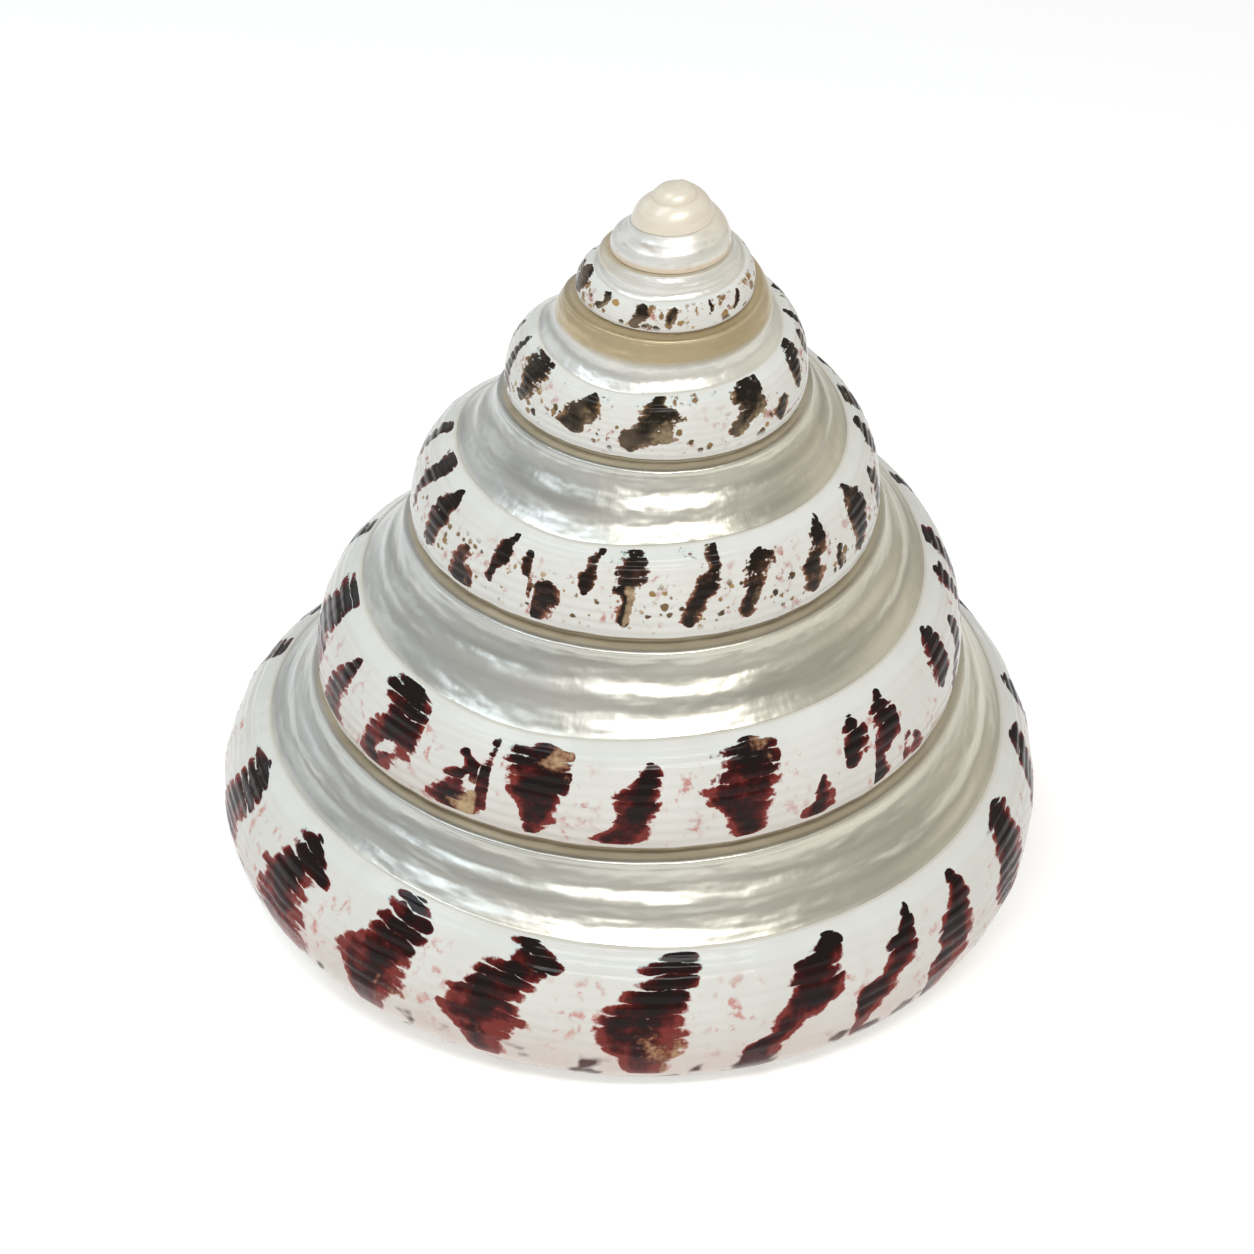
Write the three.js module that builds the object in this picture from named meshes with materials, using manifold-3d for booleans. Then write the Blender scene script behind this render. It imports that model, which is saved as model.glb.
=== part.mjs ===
// Top shell: one solid that grew as a right-handed spiral tube wound round an upright axis.
// Units are millimetres, +Z is up and the shell stands on its base, its front towards -Y.
import * as THREE from "three";
import Module from "manifold-3d";

// Driving dimensions
// A turn counts whorls back from the front of the body whorl: 0.25 is its right side, -0.25 its left.
const STEPS_PER_TURN = 32;
const FIRST_TURN = 6.5; // the tip, where the modelled whorls begin
const LIP_TURN = -0.5625; // the lip, where growth ended, at the back
const CAVITY_TURNS = 0.42; // how far the living space reaches back into the shell
const WALL = 1.5;
const LIP_SLANT = 0.07; // turns by which the foot of the lip lags behind its top
const SLANT_TURNS = 0.35; // turns before the lip over which the slant comes on
const NAVEL_TOP = -24; // height of the blind end of the navel below the apex
const LEAN = { x: -6.8, y: 2.4 }; // degrees the axis leans when the shell rests on its base

// Radius and height below the apex of the edge that each whorl ends on, at every half turn from -1.
const EDGE_FIRST = -1;
const EDGE_STEP = 0.5;
const EDGE_RADII = [
  32.6, 31.6, 30.1, 25.6, 23.1, 19.8, 16.1, 13.4, 10, 8.1,
  6.1, 4.8, 4, 3.2, 2.7, 2.2, 1.7, 1.2, 0.8,
];
const EDGE_DROPS = [
  56.8, 54.3, 51.6, 45.4, 38.5, 31.8, 26, 20.4, 15.6, 11.4,
  8, 5.9, 4.6, 3.5, 2.4, 1.5, 0.85, 0.4, 0.15,
];
// The whorls sway to the right: there an edge stands out farther and lower, and less on the left.
const SWAY = { radius: 0.58, drop: 0.95, fade: [3.5, 4.5] };

// The visible wall of a whorl, as [share of the way from its upper edge to its lower edge, bulge].
// A bulge is a share of that same distance, outwards. It runs down a channel, over a rounded
// shoulder ridge, across the hollowed pearl slope and over the full porcelain band.
const WALL_SHAPE = [
  [0.03, -0.035], [0.07, 0.008], [0.11, -0.006], [0.22, -0.008], [0.34, 0.016], [0.46, 0.058],
  [0.53, 0.1], [0.63, 0.121], [0.75, 0.11], [0.88, 0.066], [1, 0],
];
// The same wall near the tip, where the whorls are plain and round.
const TIP_BULGE = 0.17;
const TIP_TURNS = [4.4, 5.4];
// A swollen collar below the joint, on the third whorl back, and the hollow under it: their turn
// and share with the spread of each.
const COLLAR = { turn: 3.6, turns: 0.45, share: 0.16, shares: 0.12, bulge: 0.1 };
const HOLLOW = { share: 0.4, shares: 0.1, bulge: -0.07 };
const SUTURE_DEPTH = 0.05; // how far the joint between two whorls is tucked in

// The base, as [share of the edge radius, share of it below the edge].
const BASE_SHAPE = [
  [0.985, 0.045], [0.95, 0.085], [0.87, 0.118], [0.74, 0.138], [0.58, 0.146], [0.42, 0.143],
  [0.27, 0.13], [0.135, 0.122], [0.085, 0.095], [0.07, 0.0], [0.055, -0.12],
];
const NAVEL_RIM = 7; // the place in BASE_SHAPE of the pillar's foot

// The tube of air in the last whorl: its sides, its rings per turn, how far it is cut past the lip
// in turns, the rings that round off its far end, down to a tip, and its least half width.
const TUBE = { sides: 14, rings: 28, past: 0.12, roundRings: 5, tip: 0.28, least: 0.4 };
// The middle of the tube, as a share of the edge radius, and its drop as a share of it.
const TUBE_MIDDLE = { share: 0.66, drop: 0.14 };

const steps = Math.round((FIRST_TURN - LIP_TURN) * STEPS_PER_TURN);
const turnAt = (step) => FIRST_TURN - step / STEPS_PER_TURN;

// A smooth curve through evenly spaced values.
function smooth(values, turn) {
  const at = (turn - EDGE_FIRST) / EDGE_STEP;
  const i = Math.min(Math.max(Math.floor(at), 0), values.length - 2);
  const t = at - i;
  const b = values[i];
  const c = values[i + 1];
  const a = values[i - 1] ?? 2 * b - c;
  const d = values[i + 2] ?? 2 * c - b;
  return b + 0.5 * t * (c - a + t * (2 * a - 5 * b + 4 * c - d + t * (3 * (b - c) + d - a)));
}

// Points of a section are [radius, height].
function edge(turn) {
  const sway = Math.sin(2 * Math.PI * turn) * (1 - THREE.MathUtils.smoothstep(turn, ...SWAY.fade));
  const radius = smooth(EDGE_RADII, turn) + SWAY.radius * sway;
  return [radius, -smooth(EDGE_DROPS, turn) - SWAY.drop * sway];
}

// A point beside the line from the upper edge of a whorl to its lower edge.
function beside(turn, share, bulge) {
  const [r0, z0] = edge(turn + 1);
  const [r1, z1] = edge(turn);
  return [r0 + share * (r1 - r0) - bulge * (z1 - z0), z0 + share * (z1 - z0) + bulge * (r1 - r0)];
}

const suture = (turn) => beside(turn, 1, -SUTURE_DEPTH);
const bump = (value, middle, spread) => Math.exp(-(((value - middle) / spread) ** 2));

function wallSection(turn) {
  const plain = THREE.MathUtils.smoothstep(turn, ...TIP_TURNS);
  const swelling = bump(turn, COLLAR.turn, COLLAR.turns);
  return WALL_SHAPE.map(([share, bulge]) => {
    const round = 4 * TIP_BULGE * share * (1 - share);
    const collar = [COLLAR, HOLLOW].map((c) => c.bulge * bump(share, c.share, c.shares));
    const swollen = bulge + swelling * (collar[0] + collar[1]);
    return beside(turn, share, THREE.MathUtils.lerp(swollen, round, plain));
  });
}

function baseSection(turn) {
  const [r, z] = edge(turn);
  return BASE_SHAPE.map(([share, drop]) => [share * r, z - drop * r]);
}

// The place of a section's point on the spiral. The front of the shell is at turn 0.
function place([r, z], turn) {
  const angle = 2 * Math.PI * turn;
  return [r * Math.sin(angle), -r * Math.cos(angle), z];
}

// The lip slants: points low on the section lag behind, more so close to the lip.
function lag(turn, share) {
  const near = 1 - THREE.MathUtils.smoothstep(turn, LIP_TURN, LIP_TURN + SLANT_TURNS);
  return LIP_SLANT * near * Math.sin(Math.PI * share);
}

function solidOf(points, faces) {
  const mesh = new wasm.Mesh({
    numProp: 3,
    vertProperties: new Float32Array(points.flat()),
    triVerts: new Uint32Array(faces.flat()),
  });
  return new wasm.Manifold(mesh);
}

// Triangles of a flat outline given as [radius, height], all facing the way the shell grows.
function fill(outline) {
  const flat = outline.map(([r, z]) => new THREE.Vector2(r, z));
  return THREE.ShapeUtils.triangulateShape(flat, []).map(([a, b, c]) => {
    const turnsLeft = flat[b].clone().sub(flat[a]).cross(flat[c].clone().sub(flat[a])) > 0;
    return turnsLeft ? [a, b, c] : [a, c, b];
  });
}

// The whole shell, still filled: wall strips of every whorl, each hung from the edge of the whorl
// before it, the base of the body whorl, and the face at the lip.
function filledShell() {
  const points = [];
  const faces = [];
  const add = (point) => points.push(point) - 1;
  const rows = [];
  const sections = [];
  const bodyStart = steps - STEPS_PER_TURN;
  for (let step = 0; step <= steps; step++) {
    const turn = turnAt(step);
    const onBase = step >= bodyStart;
    const wall = wallSection(turn);
    const below = onBase ? baseSection(turn) : [];
    if (step <= bodyStart) below.unshift(suture(turn));
    const section = [...wall, ...below];
    const top = step < STEPS_PER_TURN ? suture(turn + 1) : null;
    const upper = top ? add(place(top, turn)) : rows[step - STEPS_PER_TURN][wall.length + 1];
    const low = section.map((point, k) => {
      const share = (k + 1) / section.length;
      return add(place(point, step > bodyStart ? turn + lag(turn, share) : turn));
    });
    rows.push([upper, ...low]);
    sections.push([suture(turn + 1), ...section]);
  }
  const apex = add([0, 0, 0]);
  const navel = add([0, 0, NAVEL_TOP]);
  const wallCount = WALL_SHAPE.length;
  for (let step = 0; step < steps; step++) {
    const here = rows[step];
    const next = rows[step + 1];
    // The row at the start of the base has the suture besides the points of the base.
    const skip = step === bodyStart ? 1 : 0;
    for (let k = 0; k < wallCount + 1; k++) {
      faces.push([here[k], next[k], here[k + 1]], [next[k], next[k + 1], here[k + 1]]);
    }
    if (step >= bodyStart) {
      for (let k = wallCount + 1; k < next.length - 1; k++) {
        const a = here[k + skip];
        const b = here[k + skip + 1];
        faces.push([a, next[k], b], [next[k], next[k + 1], b]);
      }
      if (skip) faces.push([here[wallCount + 1], next[wallCount + 1], here[wallCount + 2]]);
      faces.push([here.at(-1), next.at(-1), navel]);
    }
    if (step < STEPS_PER_TURN) faces.push([apex, next[0], here[0]]);
  }
  // The small step where the first whorl begins.
  const first = rows[0];
  for (let k = 0; k < wallCount + 1; k++) faces.push([apex, first[k], first[k + 1]]);
  // The face at the lip, down the inner base and back along the outer wall.
  const outer = rows[steps];
  const inner = rows[bodyStart].slice(wallCount + 1);
  const rim = [...outer.slice(1), navel, ...inner.slice(1).reverse(), outer[0]];
  const rimFlat = [
    ...sections[steps].slice(1),
    [0, NAVEL_TOP],
    ...sections[bodyStart].slice(wallCount + 2).reverse(),
    sections[bodyStart][wallCount + 1],
  ];
  fill(rimFlat).forEach((face) => faces.push(face.map((k) => rim[k])));
  return solidOf(points, faces);
}

// The first crossing of a ray with an outline, as a distance from the ray's start.
function reach(outline, start, direction) {
  let nearest = Infinity;
  outline.forEach((a, k) => {
    const b = outline[(k + 1) % outline.length];
    const side = [b[0] - a[0], b[1] - a[1]];
    const gap = [a[0] - start[0], a[1] - start[1]];
    const cross = direction[0] * side[1] - direction[1] * side[0];
    const along = (gap[0] * side[1] - gap[1] * side[0]) / cross;
    const share = (gap[0] * direction[1] - gap[1] * direction[0]) / cross;
    if (along > 0 && share >= 0 && share <= 1) nearest = Math.min(nearest, along);
  });
  return nearest;
}

// The hollow of the whorl at one turn: its outline drawn in by the thickness of the wall.
function hollowSection(turn, narrowing) {
  const ceiling = baseSection(turn + 1).slice(0, NAVEL_RIM + 1);
  const floor = baseSection(turn).slice(0, NAVEL_RIM + 1);
  const outline = [...wallSection(turn), ...floor, ...ceiling.reverse()];
  const [radius, height] = edge(turn);
  const midHeight = (height + edge(turn + 1)[1]) / 2;
  const middle = [TUBE_MIDDLE.share * radius, midHeight - TUBE_MIDDLE.drop * radius];
  const points = [];
  for (let k = 0; k < TUBE.sides; k++) {
    const angle = (2 * Math.PI * k) / TUBE.sides;
    const direction = [Math.cos(angle), Math.sin(angle)];
    const room = Math.max(reach(outline, middle, direction) - WALL, TUBE.least);
    const length = room * narrowing;
    points.push([middle[0] + length * direction[0], middle[1] + length * direction[1]]);
  }
  return { middle, points };
}

// The tube of air inside the last whorl, open at the lip and rounded off at its far end.
function hollow() {
  const points = [];
  const faces = [];
  const start = LIP_TURN - TUBE.past;
  const count = Math.round((CAVITY_TURNS + TUBE.past) * TUBE.rings);
  let first;
  let last;
  for (let step = 0; step <= count; step++) {
    const turn = start + ((CAVITY_TURNS + TUBE.past) * step) / count;
    const fromTip = Math.min((count - step) / TUBE.roundRings, 1);
    const narrowing = Math.max(Math.sqrt(1 - (1 - fromTip) ** 2), TUBE.tip);
    const section = hollowSection(turn, narrowing);
    section.points.forEach((point) => points.push(place(point, turn)));
    last = place(section.middle, turn);
    first ??= last;
  }
  const ends = [points.push(first) - 1, points.push(last) - 1];
  for (let step = 0; step <= count; step++) {
    for (let k = 0; k < TUBE.sides; k++) {
      const next = (k + 1) % TUBE.sides;
      const a = step * TUBE.sides + k;
      const b = step * TUBE.sides + next;
      if (step === 0) faces.push([ends[0], a, b]);
      if (step === count) faces.push([ends[1], b, a]);
      else {
        faces.push([a, a + TUBE.sides, b]);
        faces.push([b, a + TUBE.sides, b + TUBE.sides]);
      }
    }
  }
  return solidOf(points, faces);
}

const wasm = await Module();
wasm.setup();
const shellSolid = filledShell().subtract(hollow());

function geometryOf(solid) {
  const mesh = solid.getMesh();
  const geometry = new THREE.BufferGeometry();
  geometry.setAttribute("position", new THREE.BufferAttribute(mesh.vertProperties, 3));
  geometry.setIndex(new THREE.BufferAttribute(mesh.triVerts, 1));
  return geometry;
}

// The shell stands on its lip and base, so its axis leans a little, and its lowest point is at 0.
const shell = new THREE.Mesh(
  geometryOf(shellSolid),
  new THREE.MeshStandardMaterial({ color: 0xece8e0, roughness: 0.2, metalness: 0 }),
);
shell.name = "shell";
shell.rotation.set(THREE.MathUtils.degToRad(-LEAN.x), THREE.MathUtils.degToRad(LEAN.y), 0);

const topShell = new THREE.Group();
topShell.name = "top_shell";
topShell.add(shell);
const box = new THREE.Box3().setFromObject(topShell, true);
const middle = box.getCenter(new THREE.Vector3());
shell.position.set(-middle.x, -middle.y, -box.min.z);

export default topShell;
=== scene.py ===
import random
from math import cos, pi, radians, sin

import bpy
import numpy as np
from mathutils import Matrix, Vector


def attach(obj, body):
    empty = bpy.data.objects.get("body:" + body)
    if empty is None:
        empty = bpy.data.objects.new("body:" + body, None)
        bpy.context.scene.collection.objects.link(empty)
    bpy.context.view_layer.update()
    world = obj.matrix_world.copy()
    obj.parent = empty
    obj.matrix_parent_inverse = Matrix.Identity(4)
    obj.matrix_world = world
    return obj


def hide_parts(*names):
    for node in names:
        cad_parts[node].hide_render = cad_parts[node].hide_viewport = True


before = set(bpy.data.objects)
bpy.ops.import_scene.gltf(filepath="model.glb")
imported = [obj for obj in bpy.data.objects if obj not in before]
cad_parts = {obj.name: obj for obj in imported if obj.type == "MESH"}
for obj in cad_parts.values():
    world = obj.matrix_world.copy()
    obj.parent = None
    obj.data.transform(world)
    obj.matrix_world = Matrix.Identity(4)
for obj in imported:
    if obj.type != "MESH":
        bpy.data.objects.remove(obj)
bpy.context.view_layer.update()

# The shell: one wall of porcelain over mother of pearl. The animal adds to it at its lip, so
# every whorl is a copy of the one before it, hung from its edge and turned to the right as seen
# with the apex up.
MM = 0.001
# A turn counts whorls back from the front of the body whorl: 0.25 is its right side, -0.25 its
# left. A higher turn is an older one.
STEPS = 112  # rows of faces in one turn
FIRST_TURN = 7.5  # the tip
LIP_TURN = -0.5625  # where the shell stopped growing, at the back
LIP_SLANT = 0.07  # turns by which the lip's lower edge lags behind its ends
SLANT_TURNS = 0.35  # turns before the lip over which the slant comes on
APEX = Vector((3.019, -7.080, 57.958)) * MM
LEAN = Matrix.Rotation(radians(6.8), 3, "X") @ Matrix.Rotation(radians(2.4), 3, "Y")
# Radius and height below the apex, in mm, of the edge of a whorl at every half turn from -1. They
# were fitted to the joints and the outline in the photograph, then rounded and in part changed.
EDGE_START, EDGE_STEP = -1, 0.5
EDGE_RADII = (32.6, 31.6, 30.1, 25.6, 23.1, 19.8, 16.1, 13.4, 10, 8.1, 6.1, 4.9, 4.05, 3.45,
              2.75, 2.15, 1.55, 1.0, 0.6, 0.3, 0.1)
EDGE_DROPS = (56.8, 54.3, 51.6, 45.4, 38.5, 31.8, 26, 20.4, 15.6, 11.4, 8, 5.95, 4.65, 3.7,
              2.5, 1.6, 0.9, 0.42, 0.16, 0.05, 0.0)
# The whorls sway to the right: there an edge stands out farther and lower, and less on the left.
SWAY_RADIUS, SWAY_DROP, SWAY_FADE = 0.58, 0.95, (3.5, 4.5)


def spline(values, at):
    """A smooth curve through evenly spaced values, at any places between them."""
    values = np.asarray(values, float)
    ends = np.vstack if values.ndim > 1 else np.hstack
    v = ends([2 * values[:1] - values[1:2], values, 2 * values[-1:] - values[-2:-1]])
    i = np.clip(np.floor(at).astype(int), 0, len(values) - 2)
    t = at - i
    if values.ndim > 1:
        t = t[:, None]
    a, b, c, d = v[i], v[i + 1], v[i + 2], v[i + 3]
    return b + t * (c - a + t * (2 * a - 5 * b + 4 * c - d + t * (3 * (b - c) + d - a))) / 2


def ease(value, low, high):
    t = np.clip((value - low) / (high - low), 0, 1)
    return t * t * (3 - 2 * t)


def edge(turn):
    at = (turn - EDGE_START) / EDGE_STEP
    sway = np.sin(2 * np.pi * turn) * (1 - ease(turn, *SWAY_FADE))
    return (spline(EDGE_RADII, at) + SWAY_RADIUS * sway,
            -spline(EDGE_DROPS, at) - SWAY_DROP * sway)


def beside(turn, share, bulge):
    """A point a share of the way from a whorl's upper edge to its lower one, and outwards."""
    r0, z0 = edge(turn + 1)
    r1, z1 = edge(turn)
    return np.stack([r0 + share * (r1 - r0) - bulge * (z1 - z0),
                     z0 + share * (z1 - z0) + bulge * (r1 - r0)], -1)


def bump(value, middle, spread):
    return np.exp(-(((value - middle) / spread) ** 2))


def bumps(value, rows):
    """The sum of some bumps, each given as its middle, spread and height."""
    return sum(high * bump(value, middle, spread) for middle, spread, high in rows)


def place(points, turn):
    """Section points, as radius and height, to where they are on the shell, in metres."""
    angle = 2 * np.pi * turn
    r, z = points[..., 0], points[..., 1]
    spot = np.stack([r * np.sin(angle), -r * np.cos(angle), z], -1) * MM
    return spot @ np.array(LEAN).T + np.array(APEX)


def lag(turn, part):
    """How far the slanting lip holds back a part of the section, from its top to the navel."""
    near = 1 - ease(turn, LIP_TURN, LIP_TURN + SLANT_TURNS)
    return LIP_SLANT * near * np.sin(np.pi * part)


# The wall of the whorls. From the joint down: a narrow channel, a thin ridge with a groove
# behind it, the hollowed pearl slope, a small step up to the porcelain, and the porcelain band,
# which carries ten fine cords. The shell lays it all down at the lip, layer on layer.
SUTURE_DEPTH = 0.05  # how far the joint is tucked in, as a share of the wall's length
# Points of the section as (share of the way down, bulge as a share of the same length).
WALL = ((0, -0.05), (0.012, -0.047), (0.03, -0.037), (0.05, -0.016), (0.062, 0.004),
        (0.071, 0.0105), (0.08, 0.006), (0.087, -0.003), (0.096, 0.0), (0.11, -0.006),
        (0.16, -0.009), (0.22, -0.008), (0.28, 0.002), (0.34, 0.016), (0.4, 0.036),
        (0.448, 0.054), (0.456, 0.063), (0.5, 0.086), (0.53, 0.1), (0.58, 0.114),
        (0.63, 0.121), (0.69, 0.118), (0.75, 0.11), (0.82, 0.09), (0.88, 0.066),
        (0.94, 0.036), (0.98, 0.012), (1, -0.01), (1.003, -0.03))
CHANNEL_END, CHANNEL_COLUMNS = 0.11, 12
PEARL_COLUMNS = 14
PORCELAIN, STEP_HALF = 0.452, 0.006
CORDS, CORD_COLUMNS, CORD_HEIGHT, CORD_ROUNDNESS = 10, 5, 0.0075, 0.7
LAST_CORD = 0.09  # the narrow cord at the joint, as a share of the band
CORDS_RISE, CORDS_END = (0.2, 1.5), 0.3  # where the cords begin, and how late they end, in cords
# Soft folds square to the growth, as (waves in a turn, slant, start, height as a share).
FOLDS = ((41, 0.05, 0.3, 0.0045), (27, -0.04, 2.0, 0.0055), (67, 0.1, 4.0, 0.0016))
FOLDS_RISE, FOLD_TURNS, FOLDS_LOSS = (0.5, 6), (0.3, 0.6), 0.75  # weaker on the older whorls
# Soft swells of the pearl slope, as (share of the way down, spread, height).
SWELLS = ((0.262, 0.055, 0.0165), (0.41, 0.03, 0.002))
PORCELAIN_TURNS = 4.5  # older whorls are worn down to the pearl all over
TIP_BULGE, TIP_TURNS = 0.12, (4.4, 5.4)
# The swollen collar high on the spire, with the hollow under it, and its fuller left side.
COLLAR_TURN, COLLAR_TURNS = 3.6, 0.45
COLLAR = ((0.16, 0.12, 0.1), (0.4, 0.1, -0.07))
LEFT_TURN, LEFT_TURNS, LEFT_SIDE = 2.82, 0.17, ((0.14, 0.12, 0.075),)
# The pearl's lower edge wanders: per whorl, (turn from the front, spread, shift down).
WANDER = ((-0.08, 0.075, 0.048), (-0.27, 0.06, -0.035))
WANDER_TURNS, WANDER_SPREAD = (0.4, 0.6), 0.2
BODY_WANDER = ((-0.15, 0.105, -0.06),)
LINE_STEPS = 12  # places on a smooth line for each of its points


def dense(points):
    """A smooth line through the points, with the distance along it."""
    points = np.array(points, float)
    line = spline(points, np.linspace(0, len(points) - 1, LINE_STEPS * len(points)))
    steps = np.hypot(*np.diff(line, axis=0).T)
    return line, np.append(0, np.cumsum(steps))


def spread(low, high, count):
    return np.linspace(low, high, count + 1)[1:]


def lifted(points, height):
    """Section points moved outwards by a height, square to the section."""
    way = np.gradient(points, axis=1)
    way /= np.linalg.norm(way, axis=2, keepdims=True) + 1e-9
    return points + height[..., None] * np.stack([-way[..., 1], way[..., 0]], -1)


def cord_shape(place_in):
    return np.sin(np.pi * (place_in % 1)) ** CORD_ROUNDNESS


wall_line, wall_run = dense(WALL)
channel_run, pearl_run, step_run, band_run = (
    np.interp(s, wall_line[:, 0], wall_run)
    for s in (CHANNEL_END, PORCELAIN - STEP_HALF, PORCELAIN, PORCELAIN + STEP_HALF))
columns = np.concatenate([
    [0], spread(0, channel_run, CHANNEL_COLUMNS), spread(channel_run, pearl_run, PEARL_COLUMNS),
    [step_run, band_run], spread(band_run, wall_run[-1], CORDS * CORD_COLUMNS)])
share = np.interp(columns, wall_run, wall_line[:, 0])
bulge = np.interp(columns, wall_run, wall_line[:, 1])
bulge = bulge + bumps(share, SWELLS)
cord = np.interp((columns - band_run) / (wall_run[-1] - band_run),
                 (0, 1 - LAST_CORD, 1), (0, CORDS - 1, CORDS))
step_column = CHANNEL_COLUMNS + PEARL_COLUMNS + 1


def wall_section(turn):
    """The wall without its cords, for a column of turns."""
    plain = ease(turn, *TIP_TURNS)
    swelling = bump(turn, COLLAR_TURN, COLLAR_TURNS)
    round_bulge = 4 * TIP_BULGE * share * (1 - share)
    left_side = bump(turn, LEFT_TURN, LEFT_TURNS) * bumps(share, LEFT_SIDE)
    collar = swelling * bumps(share, COLLAR) + left_side
    shape = (bulge + collar) * (1 - plain) + round_bulge * plain
    shift = bumps(turn - np.round(turn), WANDER) * ease(turn, *WANDER_TURNS)
    shift = (shift + bumps(turn, BODY_WANDER)) * bump(share, PORCELAIN, WANDER_SPREAD)
    section = beside(turn, share + shift, shape)
    section[:, 0] = beside(turn[:, 0] + 1, 1, -SUTURE_DEPTH)
    return section


turns = FIRST_TURN - np.arange(int((FIRST_TURN - LIP_TURN) * STEPS) + 1) / STEPS
T = turns[:, None]
wall = wall_section(T)
length = np.hypot(*[b - a for a, b in zip(edge(T + 1), edge(T))])
fade = ease(cord, *CORDS_RISE) * (1 - ease(cord, CORDS - CORDS_END, CORDS))
fade = fade * (1 - ease(T, *TIP_TURNS))
waves = sum(high * np.sin(2 * np.pi * (rate * T + lean * cord) + start)
            for rate, lean, start, high in FOLDS)
folded = ease(cord, *FOLDS_RISE) * (1 - FOLDS_LOSS * ease(T, *FOLD_TURNS))
wall = lifted(wall, length * (CORD_HEIGHT * cord_shape(cord) * fade + waves * folded))
wall[:, 0] = beside(turns + 1, 1, -SUTURE_DEPTH)
wall[:STEPS, 0] = 0  # the first whorl closes over the apex
wall = np.concatenate([wall, beside(turns, 1, -SUTURE_DEPTH)[:, None]], 1)

# The base of the last whorl, down to the navel. It bears flat cords, and beyond the lip's place
# its rounded edge is free, where the joint with the next whorl would have been.
# Points of the section as (share of the edge's radius, drop as a share of it).
BASE = ((1, 0), (0.985, 0.045), (0.95, 0.085), (0.87, 0.118), (0.74, 0.138), (0.58, 0.146),
        (0.42, 0.143), (0.27, 0.13), (0.135, 0.122), (0.085, 0.095), (0.07, 0.0),
        (0.055, -0.12))
BASE_START, NAVEL_RIM = 0.965, 0.135
BASE_CORDS, BASE_CORD_COLUMNS, BASE_CORD_DEPTH = 14, 4, 0.0024
NAVEL_COLUMNS = 9
EDGE_COLUMNS = 6
NAVEL_TOP = -24  # mm from the apex
FREE_TURNS = 0.06  # how soon after the lip's place the edge of the body whorl is free
WALL_PART = 0.48  # the wall's part of the section, and the rest is the base's

base_line, base_run = dense(BASE)
base_start, navel = (np.interp(s, base_line[::-1, 0], base_run[::-1])
                     for s in (BASE_START, NAVEL_RIM))
base_columns = np.concatenate([
    [base_start], spread(base_start, navel, BASE_CORDS * BASE_CORD_COLUMNS),
    spread(navel, base_run[-1], NAVEL_COLUMNS)])
base_cord = np.clip((base_columns - base_start) / (navel - base_start), 0, 1) * BASE_CORDS
edge_columns = np.linspace(0, base_start, EDGE_COLUMNS)


def base_section(turn, places):
    r, z = edge(turn)
    out = np.interp(places, base_run, base_line[:, 0])
    drop = np.interp(places, base_run, base_line[:, 1])
    return np.stack([out * r, z - drop * r], -1)


body = turns[turns <= LIP_TURN + 1 + 1e-6]
B = body[:, None]
free = ease(LIP_TURN + 1 - body, 0, FREE_TURNS)[:, None, None]
base = base_section(B, base_columns[None, :])
base_fade = ease(base_cord, 0, 1) * (1 - ease(base_cord, BASE_CORDS - 1, BASE_CORDS))
base = lifted(base, -BASE_CORD_DEPTH * edge(B)[0] * (1 - cord_shape(base_cord)) * base_fade)
rounded = wall[-len(body):, -EDGE_COLUMNS:]
rounded[:] = rounded * (1 - free) + base_section(B, edge_columns[None, :]) * free
base[:, 0] = rounded[:, -1]
base = np.concatenate([base, np.tile([0.0, NAVEL_TOP], (len(body), 1, 1))], 1)

wall_part = np.linspace(0, WALL_PART, wall.shape[1])
base_part = np.linspace(WALL_PART, 1, base.shape[1])
wall_spots = place(wall, T + lag(T, wall_part) * (T < LIP_TURN + 1))
base_spots = place(base, B + lag(B, base_part))
# The wall's grid starts with a row at the apex, which closes the step of the first whorl.
tip = np.tile(np.array(APEX), (1, wall.shape[1], 1))
wall_spots = np.concatenate([tip, wall_spots])

# The hollow that the animal lived in. From the lip's outline its surface rounds over the thin lip
# and runs back inside, a wall's thickness in from the outside, round the pillar and under the
# whorl before. It closes farther in than one can see.
HOLLOW_TURNS, HOLLOW_ROWS, END_ROWS = 0.46, 36, 9
LIP_ROWS = 6
LIP_THICK, WALL_THICK, GLAZE_THICK, ROOF_THICK = 0.8, 1.5, 0.12, 1.1  # mm
THICK_TURNS = 0.07  # turns behind the lip over which the wall gets its thickness
THIN_COLUMNS = 9  # columns over which the lip thins to a glaze at its ends
MOST_INWARD = 0.7  # the most that a wall may take up of the way to the middle
MIDDLE_SHARE, MIDDLE_DROP = 0.66, 0.14
SMOOTHINGS = 70
PILLAR_COLUMNS = 2 * NAVEL_COLUMNS + 1


def hollow_outline(turn):
    """The closed section that the hollow is drawn in from, for a column of turns."""
    outer = wall_section(turn)[:, :1 - EDGE_COLUMNS]
    rim = base_section(turn, edge_columns[None, :])
    floor_side = base_section(turn, base_columns[None, 1:-NAVEL_COLUMNS])
    roof_side = base_section(turn + 1, base_columns[None, :-NAVEL_COLUMNS])[:, ::-1]
    steps = np.linspace(0, 1, PILLAR_COLUMNS + 2)[1:-1, None]
    pillar = floor_side[:, -1:] * (1 - steps) + roof_side[:, :1] * steps
    return np.concatenate([outer, rim, floor_side, pillar, roof_side], 1)


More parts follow.
